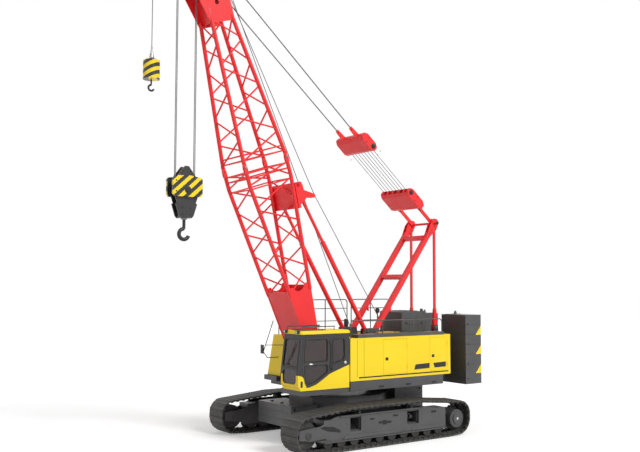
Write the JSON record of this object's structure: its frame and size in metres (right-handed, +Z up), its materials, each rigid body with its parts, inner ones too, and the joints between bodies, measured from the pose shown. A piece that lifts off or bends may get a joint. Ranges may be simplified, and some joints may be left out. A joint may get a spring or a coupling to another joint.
{
  "type": "lattice boom crawler crane",
  "caption": "Crawler crane with a slewing upper works, a lattice boom on pendants and a gantry, winches, tubular backstops, a main hook block and an auxiliary hook.",
  "frame": {"origin": "on the ground under the slew axis", "axes": "+X forward with the boom, +Y to the machine's left, where the cab is, +Z up"},
  "size_m": [11.6086, 4.96, 14.6015],
  "materials": {
    "glass_pane": "gloss",
    "paint_black": "satin",
    "paint_red": "gloss",
    "paint_yellow": "gloss",
    "plastic_dark": "matte",
    "rope_steel": "satin",
    "seat_fabric": "matte",
    "steel_bare": "satin",
    "steel_dark": "matte"
  },
  "bodies": {
    "undercarriage": {"carbody": "paint_black", "carbody_weights": "paint_black", "side_frame_left": "paint_black", "side_frame_right": "paint_black", "track_left": "steel_dark", "track_right": "steel_dark", "sprockets": "steel_dark", "idlers": "steel_dark", "rollers": "steel_dark", "travel_drives": "paint_black", "slew_ring_fixed": "steel_bare"},
    "upper": {"slew_ring_turning": "steel_bare", "deck_frame": "paint_black", "cab_shell": "paint_yellow", "cab_glass": "glass_pane", "cab_roof": "paint_yellow", "cab_seat": "seat_fabric", "cab_console": "plastic_dark", "cab_guard": "paint_black", "left_housing": "paint_yellow", "right_housing": "paint_yellow", "engine": "steel_bare", "deck_hood": "paint_black", "winch_frames": "paint_black", "counterweight_tray": "paint_black", "counterweight_slabs": "paint_black", "handrails": "paint_black", "gantry_mast": "paint_red", "gantry_links": "paint_red"},
    "cab_door_leaf": {"cab_door": "paint_black", "cab_door_glass": "glass_pane"},
    "left_front_leaf": {"left_front_door": "paint_yellow"},
    "left_rear_leaf": {"left_rear_door": "paint_yellow"},
    "right_front_leaf": {"right_front_door": "paint_yellow"},
    "right_rear_leaf": {"right_rear_door": "paint_yellow"},
    "auxiliary_winch": {"aux_drum": "steel_bare"},
    "main_winch": {"main_drum": "steel_bare"},
    "luffing_winch": {"luffing_drum": "steel_bare"},
    "boom": {"boom_base": "paint_red", "boom_top": "paint_red", "backstop_beam": "paint_red", "hoist_lines": "rope_steel"},
    "head_sheave_set": {"head_sheaves": "steel_bare"},
    "guide_sheave_set": {"guide_sheaves": "steel_bare"},
    "tip_sheave_set": {"tip_sheave": "steel_bare"},
    "mast_block": {"luffing_block": "paint_red"},
    "spreader_and_pendants": {"spreader": "paint_red", "pendants": "rope_steel"},
    "stop_tubes": {"backstop_tubes": "paint_red"},
    "stop_rods": {"backstop_rods": "paint_red"},
    "hook_block": {"main_hook_block": "paint_yellow", "main_falls": "rope_steel"},
    "hook": {"main_hook": "paint_black"},
    "small_weight": {"aux_weight": "paint_yellow"},
    "small_hook": {"aux_hook": "paint_black"}
  },
  "joints": [
    {"name": "slew", "type": "hinge", "parent": "undercarriage", "child": "upper", "pos_m": [0, 0, 1.41], "axis": [0, 0, 1], "continuous": true},
    {"name": "boom_luff", "type": "hinge", "parent": "upper", "child": "boom", "pos_m": [1.17, 0, 2.05], "axis": [0, -1, 0], "range_deg": [-42, 8]},
    {"name": "cab_door_swing", "type": "hinge", "parent": "upper", "child": "cab_door_leaf", "pos_m": [1.557, 1.606, 1.7], "axis": [0, 0, 1], "range_deg": [0, 90]},
    {"name": "left_front_door_swing", "type": "hinge", "parent": "upper", "child": "left_front_leaf", "pos_m": [-1.446, 1.612, 2], "axis": [0, 0, 1], "range_deg": [0, 100]},
    {"name": "left_rear_door_swing", "type": "hinge", "parent": "upper", "child": "left_rear_leaf", "pos_m": [-3.183, 1.612, 2], "axis": [0, 0, 1], "range_deg": [0, 100]},
    {"name": "right_front_door_swing", "type": "hinge", "parent": "upper", "child": "right_front_leaf", "pos_m": [-0.803, -1.612, 2], "axis": [0, 0, -1], "range_deg": [0, 100]},
    {"name": "right_rear_door_swing", "type": "hinge", "parent": "upper", "child": "right_rear_leaf", "pos_m": [-3.003, -1.612, 2], "axis": [0, 0, -1], "range_deg": [0, 100]},
    {"name": "auxiliary_winch_turn", "type": "hinge", "parent": "upper", "child": "auxiliary_winch", "pos_m": [-1.04, 0, 2.45], "axis": [0, 1, 0], "continuous": true},
    {"name": "main_winch_turn", "type": "hinge", "parent": "upper", "child": "main_winch", "pos_m": [-2.05, 0, 2.45], "axis": [0, 1, 0], "continuous": true},
    {"name": "luffing_winch_turn", "type": "hinge", "parent": "upper", "child": "luffing_winch", "pos_m": [-2.96, 0, 2.45], "axis": [0, 1, 0], "continuous": true},
    {"name": "head_sheaves_turn", "type": "hinge", "parent": "boom", "child": "head_sheave_set", "pos_m": [5.5344, 0, 13.67005], "axis": [0, 1, 0], "continuous": true},
    {"name": "guide_sheaves_turn", "type": "hinge", "parent": "boom", "child": "guide_sheave_set", "pos_m": [4.38605, 0, 13.30715], "axis": [0, 1, 0], "continuous": true},
    {"name": "tip_sheave_turn", "type": "hinge", "parent": "boom", "child": "tip_sheave_set", "pos_m": [6.37364, 0, 14.34368], "axis": [0, 1, 0], "continuous": true},
    {"name": "hook_block_hang", "type": "hinge", "parent": "boom", "child": "hook_block", "pos_m": [5.5344, 0, 13.67005], "axis": [0, 1, 0], "range_deg": [-42, 8]},
    {"name": "hook_swivel", "type": "hinge", "parent": "hook_block", "child": "hook", "pos_m": [5.5344, 0, 6.5], "axis": [0, 0, 1], "continuous": true},
    {"name": "small_weight_hang", "type": "hinge", "parent": "boom", "child": "small_weight", "pos_m": [6.37364, 0, 14.34368], "axis": [0, 1, 0], "range_deg": [-42, 8]},
    {"name": "small_hook_swivel", "type": "hinge", "parent": "small_weight", "child": "small_hook", "pos_m": [6.60364, 0, 10.35], "axis": [0, 0, 1], "continuous": true},
    {"name": "mast_block_swing", "type": "hinge", "parent": "upper", "child": "mast_block", "pos_m": [-3.61, 0, 6.8], "axis": [0, -1, 0], "range_deg": [-34.69, 6.61]},
    {"name": "spreader_run", "type": "slide", "parent": "mast_block", "child": "spreader_and_pendants", "axis": [-0.7596, 0, -0.6504], "range_m": [-4.6182, 0.8797]},
    {"name": "stop_tubes_swing", "type": "hinge", "parent": "upper", "child": "stop_tubes", "pos_m": [-0.62, 0, 3.2], "axis": [0, -1, 0], "range_deg": [-38.05, 7.25]},
    {"name": "stop_rods_slide", "type": "slide", "parent": "stop_tubes", "child": "stop_rods", "axis": [-0.5217, 0, -0.8531], "range_m": [-1.4808, 0.2821]}
  ],
  "couplings": [
    {"joint": "hook_block_hang", "follows": "boom_luff", "ratio": 1},
    {"joint": "small_weight_hang", "follows": "boom_luff", "ratio": 1},
    {"joint": "mast_block_swing", "follows": "boom_luff", "ratio": 0.826},
    {"joint": "spreader_run", "follows": "boom_luff", "m_per_rad": 6.3},
    {"joint": "stop_tubes_swing", "follows": "boom_luff", "ratio": 0.906},
    {"joint": "stop_rods_slide", "follows": "boom_luff", "m_per_rad": 2.02}
  ]
}
